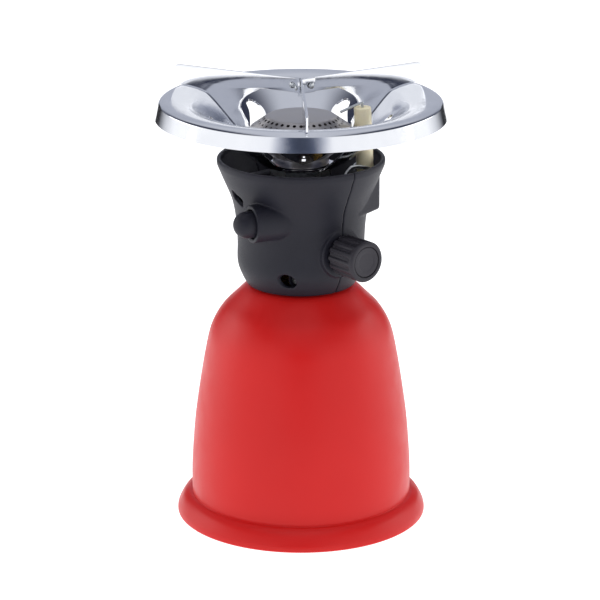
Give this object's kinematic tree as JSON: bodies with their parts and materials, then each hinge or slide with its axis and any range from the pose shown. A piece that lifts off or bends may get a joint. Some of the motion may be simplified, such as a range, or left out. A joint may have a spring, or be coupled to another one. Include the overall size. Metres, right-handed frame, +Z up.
{
  "type": "camping stove",
  "caption": "Camping stove: red bell base for a pierceable gas cartridge, charcoal valve housing with knob and push igniter, chrome dish and blade pot supports.",
  "frame": {"origin": "centre of the foot on the ground, on the stove's axis", "axes": "+Z up along the stove's axis; the igniter button and the gas knob are on the -Y side; +X to the right seen from there"},
  "size_m": [0.14, 0.14, 0.2188],
  "materials": {
    "red_plastic": "moulded, semi-gloss red",
    "charcoal_plastic": "moulded, fine matt grain",
    "chrome_steel": "pressed sheet, chrome-plated and polished",
    "burner_steel": "pressed stainless sheet, satin",
    "zinc_steel": "zinc-plated steel",
    "brass": "turned",
    "ceramic": "fired, unglazed cream",
    "black_rubber": "moulded rubber",
    "igniter_plastic": "moulded, matt"
  },
  "bodies": {
    "base": {"base_shell": "red_plastic", "threaded_collar": "brass", "collar_screw_1": "zinc_steel", "collar_screw_2": "zinc_steel", "collar_screw_3": "zinc_steel", "latch_screw_1": "zinc_steel", "latch_screw_2": "zinc_steel", "latch_screw_3": "zinc_steel"},
    "latch_1": {"cartridge_latch_1": "zinc_steel"},
    "latch_2": {"cartridge_latch_2": "zinc_steel"},
    "latch_3": {"cartridge_latch_3": "zinc_steel"},
    "piercer": {"cartridge_seal": "black_rubber", "piercing_needle": "zinc_steel"},
    "head": {"valve_body": "brass", "packing_nut": "brass", "spindle_o_ring": "black_rubber", "jet": "brass", "housing_front": "charcoal_plastic", "housing_back": "charcoal_plastic", "housing_screw_1": "zinc_steel", "housing_screw_2": "zinc_steel", "housing_screw_3": "zinc_steel", "igniter_body": "igniter_plastic", "button_spring": "zinc_steel", "ignition_lead": "black_rubber", "lead_ferrule": "brass", "ceramic_insulator": "ceramic", "spark_electrode": "zinc_steel", "electrode_clip": "zinc_steel", "burner_tube": "zinc_steel", "dish_nut": "zinc_steel", "burner_cup": "burner_steel", "burner_cap": "burner_steel", "reflector_dish": "chrome_steel", "pot_support_1": "chrome_steel", "pot_support_2": "chrome_steel", "pot_support_3": "chrome_steel", "support_rivet_1": "zinc_steel", "support_rivet_2": "zinc_steel", "support_rivet_3": "zinc_steel"},
    "knob": {"control_knob": "charcoal_plastic", "knob_cap": "charcoal_plastic", "valve_spindle": "zinc_steel"},
    "button": {"igniter_button": "charcoal_plastic"}
  },
  "joints": [
    {"name": "head_rise", "type": "slide", "parent": "base", "child": "piercer", "axis": [0, 0, 1], "range_m": [0, 0.0061]},
    {"name": "head_turn", "type": "hinge", "parent": "piercer", "child": "head", "pos_m": [0, 0, 0.118], "axis": [0, 0, 1], "range_deg": [0, 1080]},
    {"name": "knob_turn", "type": "hinge", "parent": "head", "child": "knob", "pos_m": [0, 0, 0.139], "axis": [0.6225, -0.7826, 0], "range_deg": [0, 450]},
    {"name": "button_press", "type": "slide", "parent": "head", "child": "button", "axis": [0.9063, 0.4226, 0], "range_m": [0, 0.005], "stiffness_N_per_m": 2500, "springref_m": -0.003, "deforming": ["button_spring"]},
    {"name": "latch_1_swing", "type": "hinge", "parent": "base", "child": "latch_1", "pos_m": [0, 0.0535, 0.0034], "axis": [0, 0, 1], "range_deg": [0, 90]},
    {"name": "latch_2_swing", "type": "hinge", "parent": "base", "child": "latch_2", "pos_m": [-0.04633, -0.02675, 0.0034], "axis": [0, 0, 1], "range_deg": [0, 90]},
    {"name": "latch_3_swing", "type": "hinge", "parent": "base", "child": "latch_3", "pos_m": [0.04633, -0.02675, 0.0034], "axis": [0, 0, 1], "range_deg": [0, 90]}
  ],
  "couplings": [
    {"joint": "head_rise", "follows": "head_turn", "m_per_rad": 0.00031831}
  ]
}
